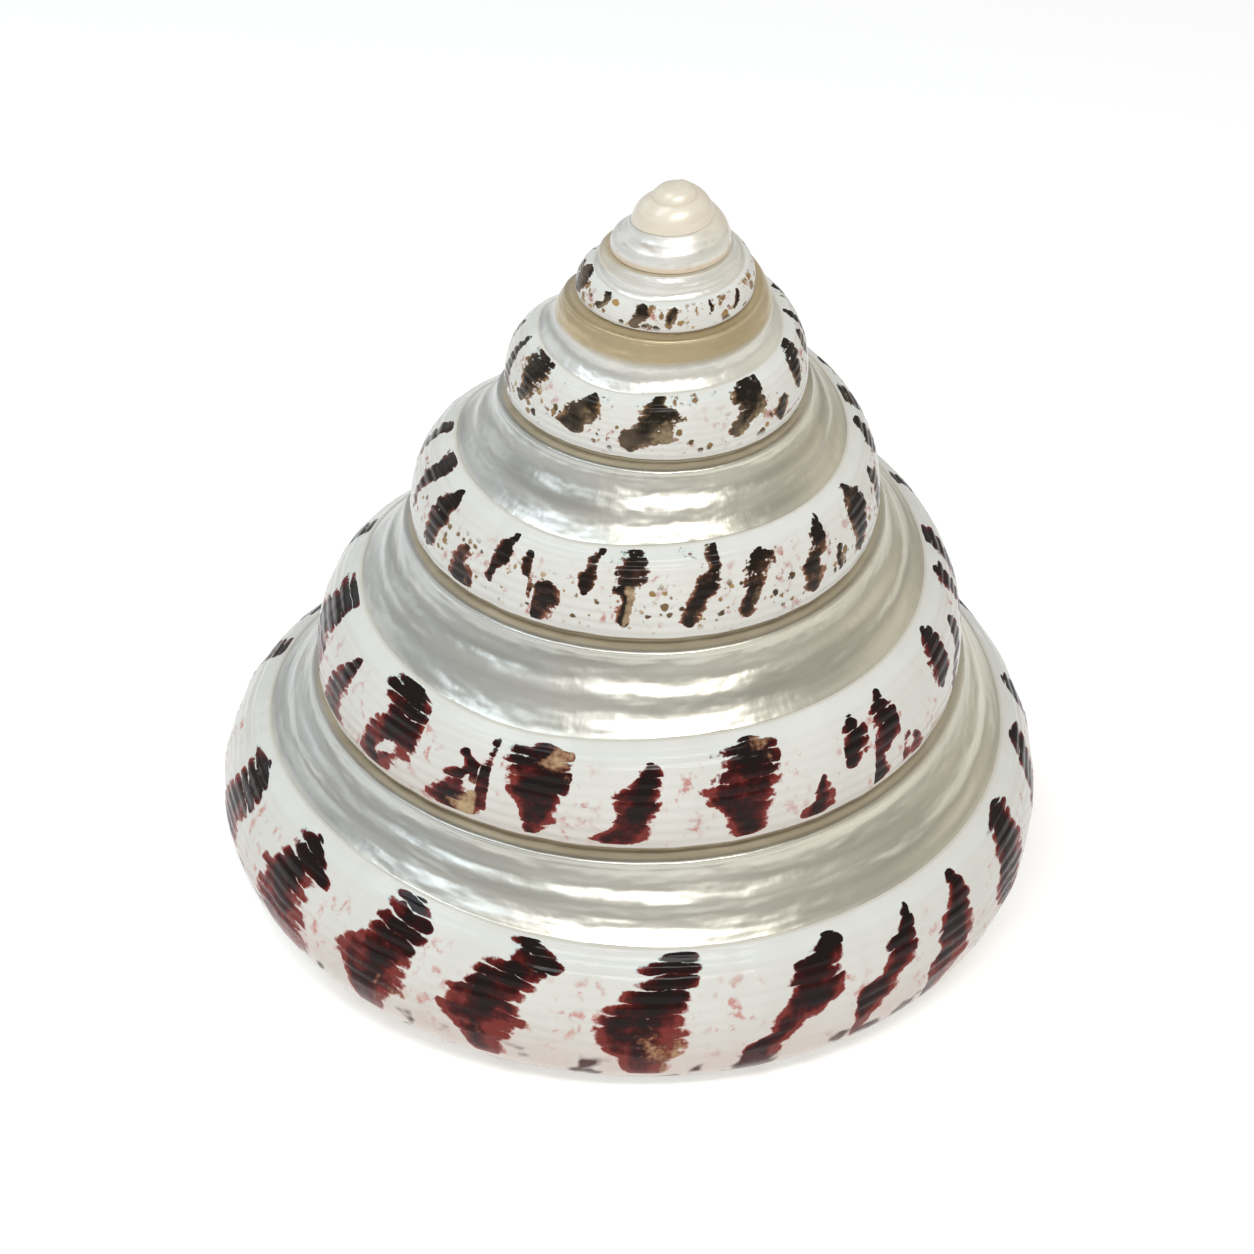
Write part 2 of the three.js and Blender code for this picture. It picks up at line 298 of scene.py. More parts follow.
# The outline of the lip: the wall, the base, up the navel and back below the whorl before.
lip_outline = np.concatenate([wall[-1], base[-1, 1:], base[0, -2::-1]])
lip_part = np.concatenate([wall_part, base_part[1:], np.ones(len(base_columns))])
u = spread(0, 1, LIP_ROWS)[:, None]
s = spread(0, 1, HOLLOW_ROWS)[:, None]
ring_turns = np.concatenate([np.full_like(u, LIP_TURN), LIP_TURN + HOLLOW_TURNS * s])
rings = hollow_outline(ring_turns)
smooth_rings = rings
for _ in range(SMOOTHINGS):
    smooth_rings = (np.roll(smooth_rings, 1, 1) + 2 * smooth_rings
                    + np.roll(smooth_rings, -1, 1)) / 4
inward = ease(ring_turns, LIP_TURN, LIP_TURN + THICK_TURNS)[:, :, None]
rings = rings * (1 - inward) + smooth_rings * inward
rings[:LIP_ROWS] = lip_outline
# The lip is thin where the wall ends and no more than a glaze on the whorl before.
column = np.arange(len(lip_part))
roof_start = len(lip_part) - len(base_columns) - NAVEL_COLUMNS
on_lip = ease(np.minimum(column, roof_start - column), 0, THIN_COLUMNS)[None, :, None]
rounding = np.concatenate([(1 - np.cos(pi * u)) / 2, np.ones_like(s)])[:, :, None]
over = np.concatenate([np.sin(pi * u), np.zeros_like(s)])[:, :, None]
thick = ((LIP_THICK + (WALL_THICK - LIP_THICK) * inward) * on_lip
         + (GLAZE_THICK + (ROOF_THICK - GLAZE_THICK) * inward) * (1 - on_lip))
radius, height = edge(ring_turns)
roof = edge(ring_turns + 1)[1]
middle = np.stack([MIDDLE_SHARE * radius, (height + roof) / 2 - MIDDLE_DROP * radius], -1)
away = middle - rings
far = np.linalg.norm(away, axis=2, keepdims=True)
rings = rings + away / far * np.minimum(thick * rounding, MOST_INWARD * far)
last_rows = np.concatenate([np.ones_like(u), np.minimum((1 - s) * HOLLOW_ROWS / END_ROWS, 1)])
narrow = np.sqrt(1 - (1 - last_rows) ** 2)[:, :, None]
rings = middle + (rings - middle) * narrow
ahead = over * on_lip * LIP_THICK / 2 / (2 * pi * rings[..., :1])
rings = np.concatenate([lip_outline[None], rings])
ahead = np.concatenate([np.zeros_like(ahead[:1]), ahead])[..., 0]
ring_turns = np.concatenate([[[LIP_TURN]], ring_turns])
hollow_spots = place(rings, ring_turns + lag(ring_turns, lip_part) - ahead)
hollow_spots = np.concatenate([hollow_spots, hollow_spots[:, :1]], 1)

# The flames. The mantle lays down dark pigment in the porcelain in steep stripes, which break
# up on the cords into lens-shaped patches. Each flame is its turn, first cord, tilt of its
# patches in cords to 1/100 turn, and share of tan (above 0 at its foot, below 0 at its top),
# and then the left and right end of its patch on each cord, in 1/1000 turn. These are the ones
# in the photograph, read off it.
FLAMES = (
    (-0.205, 1, 0.2, 0.1, -11, 17, -9, 17, -10, 15, -12, 14, -13, 11, -16, 10, -19, 9, -21, 9),
    (-0.150, 1, 0.3, 0.0, -6, 14, -7, 22, -8, 15, -13, 14, -17, 12, -19, 12, -20, 15, -20, 15,
     -16, 10),
    (-0.100, 0, 0.3, 0.5, 0, 20, 1, 25, -4, 19, -8, 16, -9, 15, -13, 15, -15, 18, -16, 17,
     -13, 9, -10, 5),
    (-0.048, 0, 0.3, 0.5, -1, 17, 2, 25, -5, 17, -11, 16, -13, 9, -19, 10, -22, 13, -23, 10,
     -17, 7, -12, 4),
    (0.010, 0, 0.0, 0.7, 3, 19, -3, 21, -9, 14, -12, 15, -17, 14, -20, 14, -20, 15, -19, 16,
     -14, 12, -9, 7),
    (0.070, 0, 0.0, 0.0, 9, 11, 3, 16, -7, 13, -8, 14, -8, 12, -12, 12, -17, 2, -15, -3, -29, -8,
     -34, -16),
    (0.105, 1, 0.0, 0.1, 10, 17, 5, 16, -1, 16, -3, 13, -6, 10, -22, 3, -23, 0, -22, -5, -26, -12),
    (0.140, 1, 0.0, 0.2, 1, 7, -1, 9, -4, 10, -7, 10, -12, 10, -10, 9, -18, 10, -22, 6, -24, -4),
    (0.185, 1, 0.0, 0.1, -8, 16, -10, 10, -11, 10, -12, 11, -14, 12, -14, 13, -12, 12, -10, 8),
    (0.232, 1, 0.0, 0.1, -7, 13, -9, 12, -10, 10, -11, 7, -12, 8, -12, 10, -11, 9, -9, 7),
    (0.770, 0, 0.0, 0.2, -15, 18, -15, 20, -14, 19, -17, 18, -20, 17, -21, 16, -22, 14, -21, 11,
     -19, 6),
    (0.815, 2, 0.0, 0.1, 5, 12, 0, 11, -5, 11, -10, 11, -12, 8, -16, 6, -21, 6),
    (0.865, 0, 0.0, -0.3, -14, 7, -16, 22, -12, 21, -8, 18, -13, 17, -17, 18, -18, 15, -20, 5,
     -22, 5),
    (0.912, 3, 0.0, 0.9, -4, 4, 2, 14, -8, 16, -12, 16, -19, 17, -19, 14),
    (0.945, 1, 0.0, -1.0, -15, 26, -14, 25, -14, 22, -13, 21, -7, 20, -2, 17, 0, 18, -1, 9),
    (0.995, 2, 0.0, 0.1, 3, 15, 1, 16, -5, 15, -7, 15, -4, 13, -8, 11, -18, 7),
    (1.050, 1, 0.0, -0.9, -13, 22, -14, 26, -13, 22, -17, 20, -17, 18, -10, 13, -9, 11, -9, 10),
    (1.096, 5, 0.0, 0.1, -5, -1, -8, 1, -10, 1, -20, 4),
    (1.112, 2, 0.0, 0.0, -6, 6, -8, 6, -9, 6, -8, 3),
    (1.134, 1, 0.0, 0.0, -1, 4, -7, 7, -7, 13, -9, 12, -10, 11, -15, -1, -13, -1, -17, 0),
    (1.155, 6, 0.0, 0.0, -4, -1, -1, 5, -5, 9),
    (1.190, 1, 0.0, 0.0, -5, 10, -9, 13, -9, 12, -11, 10, -9, 5),
    (1.216, 3, 0.0, 0.1, -2, 6, -1, 12, -4, 12, -12, 4, -13, 2, -14, -4),
    (1.240, 1, 0.0, 0.0, -6, 14, -5, 8, -2, 13, 3, 14, 0, 12, -3, 9),
    (1.785, 0, 0.0, 0.2, -12, 10, -12, 10, -12, 6, -14, 4, -16, -4, -18, -6, -19, -8),
    (1.818, 1, 0.0, 0.2, 2, 9, -6, 14, -10, 12, -14, 14, -10, 6, -12, 5, -17, 2),
    (1.855, 5, 0.0, 0.3, -6, 9, -10, 7, -11, 12, -14, 12),
    (1.888, 1, 0.0, 0.1, 2, 9, -4, 7, -6, 9, -8, 6, -7, -1, -10, -1),
    (1.908, 2, 0.0, 0.4, -3, 3, -3, 5, -2, 6),
    (1.925, 5, 0.0, 0.3, -9, 14, -7, 15, -17, 10, -18, 4),
    (1.953, 0, 0.0, 0.2, 2, 9, -2, 6, -1, 6, -5, 8, -4, 5, -2, 1),
    (1.978, 0, 0.0, 0.9, -5, 14, 1, 18, -4, 19, -7, 15, -5, 9, 0, 8, -2, 8, -3, 6),
    (2.032, 0, 0.0, 0.2, 4, 18, 5, 17, 8, 16, -1, 16, -3, 14, -10, 5, -12, 3, -13, 2),
    (2.072, 2, 0.0, 0.6, -3, 17, -8, 17, -7, 12, -8, 3, -12, 0, -11, 1),
    (2.130, 1, 0.0, 0.1, 4, 13, -4, 14, -9, 12, -14, 5, -17, 1, -18, 0, -19, 1),
    (2.150, 5, 0.0, 0.6, -5, 1, -6, 2, -5, 3),
    (2.175, 1, 0.0, 0.2, -1, 8, -8, 16, -11, 18, -11, 16, -7, 12, -6, 12, -6, 9),
    (2.220, 3, 0.0, 0.3, -5, 6, -4, 13, -2, 14, -3, 14, -2, 15),
    (2.252, 1, 0.0, 0.2, -2, 20, -6, 22, -6, 20, 2, 16),
    (2.815, 0, 0.0, 0.7, -10, 27, -10, 31, -9, 30, -7, 27, -7, 24, -6, 18, -14, 12),
    (2.912, 1, 0.0, 0.7, -6, 9, -15, 12, -23, 16, -24, 17, -22, 15, -34, 12),
    (2.987, 0, 0.0, 0.8, -4, 14, -6, 10, -13, 26, -17, 30, -18, 26, -28, 22, -38, 16, -34, -8),
    (3.103, 0, 0.0, 0.8, -20, 26, -21, 34, -17, 26, -16, 24, -18, 18, -28, 4, -30, -8),
    (3.150, 5, 0.0, 0.6, -5, 12, -12, 10, -8, 3),
    (3.195, 0, 0.0, 0.2, -3, 18, -14, 18, -18, 15, -20, 10, -18, 4, -14, 1),
    (3.240, 2, 0.0, 0.5, -8, 12, -12, 10, -8, 6),
    (3.770, 0, 0.0, 0.2, -20, 14, -26, 24, -22, 34, -16, 32, -20, 30, -24, 28, -28, 24, -30, 20),
    (3.868, 1, 0.0, 0.8, -8, 8, -6, 8, -4, 8, -2, 10, -16, 4, -20, -4),
    (3.945, 1, 0.0, 0.4, -8, 6, -10, 8, -12, 12, -12, 16, -12, 12, -16, 6, -20, -2, -18, -2),
    (4.003, 2, 0.0, 0.9, -6, 8, -8, 10, -10, 8, -10, 4, -10, 0),
    (4.075, 1, 0.0, 0.8, -4, 2, -3, 4, -1, 6, -2, 5),
    (4.140, 2, 0.0, 0.6, 0, 8, -4, 8, -8, 4, -12, 2, -18, -6))
TILT_UNITS, END_UNITS = 100, 1000
PALE_MIDDLES = {0.865: 6.6, 0.912: 6.2}  # flames with a pale middle, and the cord it lies on
# The flames go on in the same way all round the whorls and up to the lip, drawn at random.
PLAIN_SPANS = ((-0.55, -0.25), (0.27, 0.735), (1.27, 1.75), (2.29, 2.78), (3.27, 3.73))
SPAN_STEPS, SPAN_CORDS, SPAN_TAN = (0.042, 0.062), (7, 9), (-0.3, 0.6)
SPAN_LEFT, SPAN_RIGHT = (-9, -2), (6, 18)
STEP_LEFT, STEP_RIGHT = (-4, 1.5), (-3.5, 2.5)  # how the ends move from one cord to the next
LEFT_LIMIT, RIGHT_LIMIT, LEAST_WIDTH = -22, 20, 9
BODY_TILT = 0.2  # of the patches left of the front
FIRST_FLAME, LAST_FLAME = -0.6, 4.25  # turns beyond the flames at both ends
NO_PALE = -9  # a cord that no flame reaches
RUN_POINTS = 2000
drawn = random.Random(11)
flames = [list(flame) for flame in FLAMES]
for low, high in PLAIN_SPANS:
    at = low
    while at < high:
        rows = drawn.randint(*SPAN_CORDS)
        left, right = drawn.uniform(*SPAN_LEFT), drawn.uniform(*SPAN_RIGHT)
        flame = [at, CORDS - 1 - rows, BODY_TILT if at < 0 else 0, drawn.uniform(*SPAN_TAN)]
        for _ in range(rows):
            flame += [left, right]
            left = max(left + drawn.uniform(*STEP_LEFT), LEFT_LIMIT)
            right = max(right + drawn.uniform(*STEP_RIGHT), left + LEAST_WIDTH)
            right = min(right, RIGHT_LIMIT)
        flames.append(flame)
        at += drawn.uniform(*SPAN_STEPS)
flames.sort()
run_turns = np.linspace(LIP_TURN, FIRST_TURN, RUN_POINTS)
run_steps = 2 * np.pi * edge(run_turns)[0] * (run_turns[1] - run_turns[0])
flame_turns = np.array([FIRST_FLAME] + [flame[0] for flame in flames] + [LAST_FLAME])
flame_looks = np.array([(0, 0)] + [flame[2:4] for flame in flames] + [(0, 0)])
pale_rows = np.array([PALE_MIDDLES.get(at, NO_PALE) for at in flame_turns])
# Left and right ends: a row for each cord, one above the first and one below the last.
ends = np.zeros((len(flame_turns), CORDS + 2, 2))
for number, flame in enumerate(flames, 1):
    found = np.array(flame[4:]).reshape(-1, 2)
    first = 1 + int(flame[1])
    ends[number, :first] = found[0].mean()
    ends[number, first + len(found):] = found[-1].mean()
    ends[number, first:first + len(found)] = found


def growth_maps(turn, across, cords, down):
    """The maps that the markings are drawn on, for rows of one turn each and their columns: the
    turn and the share down, the flame and the cord, the patch's middle and half width, the gap
    to the next flame and the tilt, the lengths along and down, the tan and the pale cord."""
    run = np.interp(turn, run_turns, np.cumsum(run_steps))
    number = np.interp(turn, flame_turns, np.arange(len(flame_turns)))
    near = np.round(number).astype(int)
    gap = np.diff(flame_turns)[np.minimum(number.astype(int), len(flame_turns) - 2)]
    tilt, tan = flame_looks[near].T
    tilted = cords[None, :] - tilt[:, None] * TILT_UNITS * (turn - flame_turns[near])[:, None]
    middle, half = np.empty_like(tilted), np.empty_like(tilted)
    for line, flame in enumerate(near):
        low, high = (np.interp(tilted[line], np.arange(CORDS + 2) - 0.5, side)
                     for side in ends[flame].T)
        middle[line], half[line] = (low + high) / (2 * END_UNITS), (high - low) / (2 * END_UNITS)

    def by_row(values):
        return np.broadcast_to(values[:, None], tilted.shape)

    def by_column(values):
        return np.broadcast_to(values[None, :], tilted.shape)

    return {"growth": (by_row(turn), by_column(across)),
            "marks": (by_row(number), by_column(cords)),
            "form": (middle, half), "gap": (by_row(gap), by_row(tilt)),
            "run": (by_row(run), down), "look": (by_row(tan), by_row(pale_rows[near]))}


def grid(spots, name, maps):
    """A primitive grid whose vertices are moved to the spots of its rows and columns."""
    rows, cols = spots.shape[:2]
    bpy.ops.object.select_all(action="DESELECT")
    bpy.ops.mesh.primitive_grid_add(x_subdivisions=cols - 1, y_subdivisions=rows - 1, size=2,
                                    calc_uvs=False, location=(0, 0, 0))
    made = bpy.context.object
    made.name = name
    made.data.vertices.foreach_set("co", spots.reshape(-1).astype(np.float32))
    made.data.update()
    corners = np.empty(len(made.data.loops), np.int32)
    made.data.loops.foreach_get("vertex_index", corners)
    for map_name, (across, down) in maps.items():
        layer = made.data.uv_layers.new(name=map_name)
        both = np.stack([across.reshape(-1)[corners], down.reshape(-1)[corners]], -1)
        layer.uv.foreach_set("vector", both.reshape(-1).astype(np.float32))
    return made


# Across the section the maps run from 0 to 1 on the wall, 1 to 2 on the base and 3 to 4 inside.
# The last column of the wall is the tucked in joint, and that of the base the navel's top.
JOINT_LENGTH, NAVEL_LENGTH, INSIDE = 0.02, 0.1, 3
wall_turns = np.concatenate([[FIRST_TURN], turns])
wall_down = np.append(columns, columns[-1] + JOINT_LENGTH)
wall_down = wall_down * np.append(length[:1], length)[:, None]
wall_grid = grid(wall_spots, "wall", growth_maps(
    wall_turns, np.append(share, 1 + JOINT_LENGTH), np.append(cord, CORDS), wall_down))
base_across = np.append(1 + base_columns / base_run[-1], 2)
base_down = np.append(base_columns, base_columns[-1] + NAVEL_LENGTH) * edge(B)[0]
base_grid = grid(base_spots, "base", growth_maps(
    body, base_across, CORDS + np.append(base_cord, BASE_CORDS), base_down))
inside = INSIDE + np.linspace(0, 1, hollow_spots.shape[1])
inside_cords = np.full_like(inside, INSIDE * CORDS)
hollow_grid = grid(hollow_spots, "hollow", growth_maps(
    ring_turns[:, 0], inside, inside_cords, np.tile(inside, (len(ring_turns), 1))))


def connect(node, inputs):
    """Fill a node's inputs, by links from other nodes or with values."""
    for key, value in inputs.items():
        if isinstance(value, bpy.types.NodeSocket):
            node.id_data.links.new(value, node.inputs[key])
        else:
            node.inputs[key].default_value = value


def tools(material):
    """Shorthands for a material's nodes: one node, one sum, and the two parts of a map."""
    tree = material.node_tree

    def add(kind, inputs=None, **settings):
        node = tree.nodes.new("ShaderNode" + kind)
        for name, value in settings.items():
            setattr(node, name, value)
        connect(node, inputs or {})
        return node

    def calc(operation, *values, clamp=False):
        return add("Math", dict(enumerate(values)), operation=operation,
                   use_clamp=clamp).outputs[0]

    def parts(name):
        split = add("SeparateXYZ", {0: add("UVMap", uv_map=name).outputs[0]})
        return split.outputs[0], split.outputs[1]

    return add, calc, parts


def new_material(name):
    material = bpy.data.materials.new(name)
    material.use_nodes = True
    return material, material.node_tree.nodes["Principled BSDF"]


def noise_at(add, x, y, scale, detail, z=0.0):
    """Noise on a map. Each z gives another pattern."""
    spot = add("CombineXYZ", {0: x, 1: y, 2: z}).outputs[0]
    return add("TexNoise", {"Vector": spot, "Scale": scale, "Detail": detail}).outputs[0]


def ramp(add, value, stops):
    """A colour ramp through (position, colour) stops."""
    node = add("ValToRGB", {0: value})
    elements = node.color_ramp.elements
    while len(elements) < len(stops):
        elements.new(0.5)
    for element, (at, color) in zip(elements, stops):
        element.position = at
        element.color = (*color, 1)
    return node.outputs[0]


def blend(add, share_in, first, second, mode="MIX"):
    first, second = ((*c, 1) if isinstance(c, tuple) else c for c in (first, second))
    return add("MixRGB", {0: share_in, 1: first, 2: second}, blend_type=mode).outputs[0]


def window(calc, value, low, high, soft):
    """1 where the value lies between two limits, with soft ends."""
    up = calc("DIVIDE", calc("SUBTRACT", value, low), soft, clamp=True)
    down = calc("DIVIDE", calc("SUBTRACT", high, value), soft, clamp=True)
    return calc("MULTIPLY", up, down)


def rise(calc, value, start, slope):
    """0 up to the start, and from there up to 1."""
    return calc("MULTIPLY", calc("SUBTRACT", value, start), slope, clamp=True)


def fall(calc, value, end, slope):
    """0 from the end on, and before it up to 1."""
    return calc("MULTIPLY", calc("SUBTRACT", end, value), slope, clamp=True)


def swing(calc, noise, amount):
    """A noise about its middle."""
    return calc("MULTIPLY", calc("SUBTRACT", noise, 0.5), amount)


def more(calc, value, other, amount):
    return calc("ADD", value, calc("MULTIPLY", other, amount))


def less(calc, value, other, amount):
    return calc("SUBTRACT", value, calc("MULTIPLY", other, amount))


def relief(add, height, strength, distance):
    return add("Bump", {"Height": height, "Strength": strength, "Distance": distance}).outputs[0]


# Porcelain: the hard white outer layer of the wall, worn smooth and polished. The animal laid
# the flames down in it as pigment, dark red on the young whorls and brown on the old ones.
DULL_WHITE, BRIGHT_WHITE = (0.60, 0.59, 0.54), (0.70, 0.695, 0.65)
# The rosy white is partly a rosy tint and partly painted shade of the lower cords.
ROSY_SHADED_WHITE, COOL_WHITE = (0.59, 0.47, 0.41), (0.70, 0.745, 0.72)
FLAME_RED = (
    (0.0, (0.18, 0.028, 0.022)), (0.16, (0.105, 0.014, 0.012)), (0.34, (0.052, 0.008, 0.007)),
    (0.56, (0.023, 0.0055, 0.005)), (0.85, (0.011, 0.007, 0.0065)))
FLAME_BROWN = (
    (0.0, (0.23, 0.13, 0.06)), (0.15, (0.12, 0.07, 0.036)), (0.38, (0.052, 0.033, 0.020)),
    (0.7, (0.016, 0.012, 0.008)))
PALE_BROWN = (0.15, 0.105, 0.07)
TAN_IN_RED = (
    (0.0, (0.10, 0.022, 0.016)), (0.35, (0.22, 0.085, 0.048)), (1.0, (0.48, 0.33, 0.18)))
TAN_IN_BROWN = (
    (0.0, (0.06, 0.040, 0.022)), (0.35, (0.15, 0.105, 0.06)), (1.0, (0.42, 0.33, 0.20)))
RED_SPECK, DARK_SPECK = (0.50, 0.16, 0.13), (0.36, 0.07, 0.055)
GREEN_BLUR, RED_HALO = (0.47, 0.62, 0.59), (0.55, 0.19, 0.15)
TAN_DOT, BROWN_DOT = (0.40, 0.25, 0.10), (0.045, 0.028, 0.018)
STEP_LINE = (0.55, 0.52, 0.44)
# Khaki of the ground lower cord, partly painted shade under the whorl's edge; the dark one is also
# the painted shade in the pearl's joint.
SHADED_KHAKI_DARK, SHADED_KHAKI_LIGHT = (0.17, 0.12, 0.07), (0.30, 0.24, 0.15)
DASH_RED = (0.055, 0.012, 0.011)
# Turns: where the looks of the older whorls come on, and where the body whorl's edge is free.
OLDER_FROM, BROKEN_FROM, BROWN_FROM, PALE_FROM, OLDEST_FROM = 0.4, 1.4, 1.5, 2.6, 3.4
FREE_EDGE_TO = 0.42
JOINED_TURNS, DOTTED_TURNS = (0.04, 0.5), (1.5, 4.6)
HALF_WAY = 0.42  # how far the pigment may reach to the next flame
LEAST_HALF, NO_HALF = 0.0002, 0.0022  # half widths of a patch that is nearly, or quite, none
# Cords: the top of the flames, the rows of the specks and dots, the cord between high and low tan
# blots, and the edge that is ground and darkened with painted shade.
TOP_CORD, SPECK_CORDS, DOT_CORDS, FEW_DOT_CORDS = 0.3, (2.0, 9.6), (1.0, 9.0), (3.5, 9.0)
TAN_CORD = 4.5
KHAKI_CORD, DASH_CORDS = CORDS - 0.75, (CORDS - 1.1, CORDS + 1.0)

porcelain, skin = new_material("porcelain")
add, calc, parts = tools(porcelain)
turn, across = parts("growth")
number, cords = parts("marks")
middle, half = parts("form")
gap, tilt = parts("gap")
run, down = parts("run")
tan, pale_row = parts("look")
flame = calc("ROUND", number)
from_flame = calc("SUBTRACT", number, flame)
beyond = calc("MULTIPLY", from_flame, gap)
ragged = noise_at(add, run, down, 1.3, 3.0)
blotch = noise_at(add, run, down, 0.5, 2.0, 2.0)
patch = noise_at(add, run, down, 0.6, 3.0, 7.0)
grain = noise_at(add, run, down, 3.2, 2.0, 17.0)
older = rise(calc, turn, OLDER_FROM, 0.5)
# The rows of patches, which tilt across the cords and are a little uneven.
tilted = less(calc, cords, beyond, calc("MULTIPLY", tilt, TILT_UNITS))
tilted = calc("ADD", tilted, swing(calc, blotch, 0.9))
row = calc("FLOOR", tilted)
in_row = calc("SUBTRACT", calc("MULTIPLY", calc("SUBTRACT", tilted, row), 2.0), 1.0)
lower = rise(calc, tilted, 1.5, 0.2)
by_chance = add("TexWhiteNoise", {"Vector": add("CombineXYZ", {0: flame, 1: row}).outputs[0]})
chance = add("SeparateColor", {0: by_chance.outputs[1]}).outputs
# The place along a patch, from -1 at its left end to 1 at its right one.
reach = calc("MULTIPLY", calc("MAXIMUM", half, LEAST_HALF), more(calc, 1.0, older, 0.12))
along = calc("DIVIDE", calc("SUBTRACT", beyond, middle), reach)
along = calc("ADD", along, swing(calc, chance[1], 0.35))
# High on the flame a patch is drawn out to a point on the left, and low on it on the right.
left = calc("MAXIMUM", calc("MULTIPLY", along, -1.0), 0.0)
left = calc("POWER", left, more(calc, 1.5, lower, 1.4))
right = calc("POWER", calc("MAXIMUM", along, 0.0), less(calc, 3.2, lower, 1.4))
core = calc("SUBTRACT", 1.0, calc("ADD", left, right))
# On the older whorls the flames are broken up, with blots beside the patches too.
core = calc("MAXIMUM", core, calc("SUBTRACT", rise(calc, turn, BROKEN_FROM, 6.0), 1.58))
# White between the cords parts the patches, most of all high on a flame.
parted = less(calc, 0.85, lower, 0.62)
parted = less(calc, parted, window(calc, turn, *JOINED_TURNS, 0.02), 0.25)
parted = calc("MULTIPLY", parted, less(calc, 1.0, older, 0.6))
parted = calc("MULTIPLY", parted, more(calc, 0.4, chance[0], 1.2))
rim = calc("MULTIPLY", calc("POWER", calc("ABSOLUTE", in_row), 3.6), parted)
# Depth is above 0 in the pigment. Noise frays its edge.
depth = calc("SUBTRACT", core, rim)
depth = calc("ADD", depth, swing(calc, ragged, 1.3))
depth = calc("ADD", depth, swing(calc, grain, more(calc, 0.4, older, 1.9)))
depth = calc("ADD", depth, swing(calc, blotch, more(calc, 1.1, older, 2.1)))
# No pigment lies half way to the next flame, where a patch has no width, above the first cord or
# below the last one, which on the body whorl is a little lower.
at_limit = calc("MULTIPLY", calc("SUBTRACT", calc("ABSOLUTE", from_flame), HALF_WAY), 16.0)
depth = calc("SUBTRACT", depth, calc("MAXIMUM", at_limit, 0.0))
depth = less(calc, depth, fall(calc, half, NO_HALF, 900.0), 2.5)
depth = less(calc, depth, fall(calc, cords, TOP_CORD, 6.0), 2.0)
last = more(calc, CORDS - 1.0, calc("LESS_THAN", turn, FREE_EDGE_TO), 0.8)
depth = less(calc, depth, calc("GREATER_THAN", cords, last), 3.0)
from_pale = calc("ABSOLUTE", calc("MULTIPLY", calc("SUBTRACT", tilted, pale_row), 0.8))
beside_pale = calc("ABSOLUTE", calc("MULTIPLY", calc("SUBTRACT", along, 0.1), 2.2))
from_pale = calc("ADD", from_pale, beside_pale)
depth = less(calc, depth, calc("SUBTRACT", 1.3, from_pale, clamp=True), 1.5)
# The pigment is nearly black where it is thick, and redder towards the foot of the flame.
redder = calc("MULTIPLY", rise(calc, tilted, 1.3, 0.085), less(calc, 1.0, older, 0.6))
tone = calc("SUBTRACT", calc("MULTIPLY", calc("ADD", core, depth), 0.5), redder)
tone = calc("ADD", tone, swing(calc, patch, 2.0))
pale = rise(calc, more(calc, patch, tilted, 0.035), 0.63, 4.0)
pale = calc("MULTIPLY", rise(calc, turn, PALE_FROM, 2.0), pale)
brown = blend(add, pale, ramp(add, tone, FLAME_BROWN), PALE_BROWN)
dark = blend(add, rise(calc, turn, BROWN_FROM, 1.2), ramp(add, tone, FLAME_RED), brown)
# Tan blots, low on some flames and high on others, and more on their right side.
tan_low = calc("MULTIPLY", calc("MAXIMUM", calc("MULTIPLY", tan, 1.4), 0.0),
               rise(calc, tilted, less(calc, TAN_CORD, older, 3.0), 0.4))
tan_high = calc("MULTIPLY", calc("MAXIMUM", calc("MULTIPLY", tan, -1.0), 0.0),
                fall(calc, tilted, TAN_CORD, 0.5))
tan_here = calc("MULTIPLY", calc("ADD", tan_low, tan_high), rise(calc, along, -0.6, 1.2))
mottle = calc("ADD", calc("MULTIPLY", patch, 0.5), calc("MULTIPLY", ragged, 0.25))
mottle = more(calc, mottle, grain, 0.25)
tan_part = rise(calc, mottle, less(calc, 0.72, tan_here, 0.30), less(calc, 4.5, older, 1.5))
tan_color = blend(add, older, ramp(add, tan_part, TAN_IN_RED), ramp(add, tan_part, TAN_IN_BROWN))
dark = blend(add, calc("MULTIPLY", tan_part, 2.5, clamp=True), dark, tan_color)

folds = noise_at(add, calc("MULTIPLY", run, 0.25), calc("MULTIPLY", down, 0.1), 1.0, 2.0, 3.0)
white = blend(add, folds, DULL_WHITE, BRIGHT_WHITE)
# The lower cords are darker and rosy on the young whorls, partly a rosy tint and partly
# painted shade of the lower band, and the white by the step is cool.
rosy_and_shaded = calc("MULTIPLY", rise(calc, cords, 5.0, 0.2), more(calc, 0.1, blotch, 1.0))
young = calc("SUBTRACT", 1.0, calc("MULTIPLY", older, 1.4), clamp=True)
white = blend(add, calc("MULTIPLY", rosy_and_shaded, young), white, ROSY_SHADED_WHITE)
cool = window(calc, across, PORCELAIN, 0.58, 0.06)
white = blend(add, calc("MULTIPLY", cool, 0.3), white, COOL_WHITE)
# Pale red specks half way between the flames, darker on the older whorls.
speck = rise(calc, noise_at(add, run, down, 1.35, 3.0, 5.0), 0.53, 9.0)
speck = calc("MULTIPLY", speck, rise(calc, blotch, 0.45, 7.0))
between = rise(calc, calc("ABSOLUTE", from_flame), 0.22, 6.0)
between = calc("MULTIPLY", between, window(calc, cords, *SPECK_CORDS, 1.0))
speck = calc("MULTIPLY", speck, between)
speck_color = blend(add, older, RED_SPECK, DARK_SPECK)
white = blend(add, calc("MULTIPLY", speck, 0.75), white, speck_color)
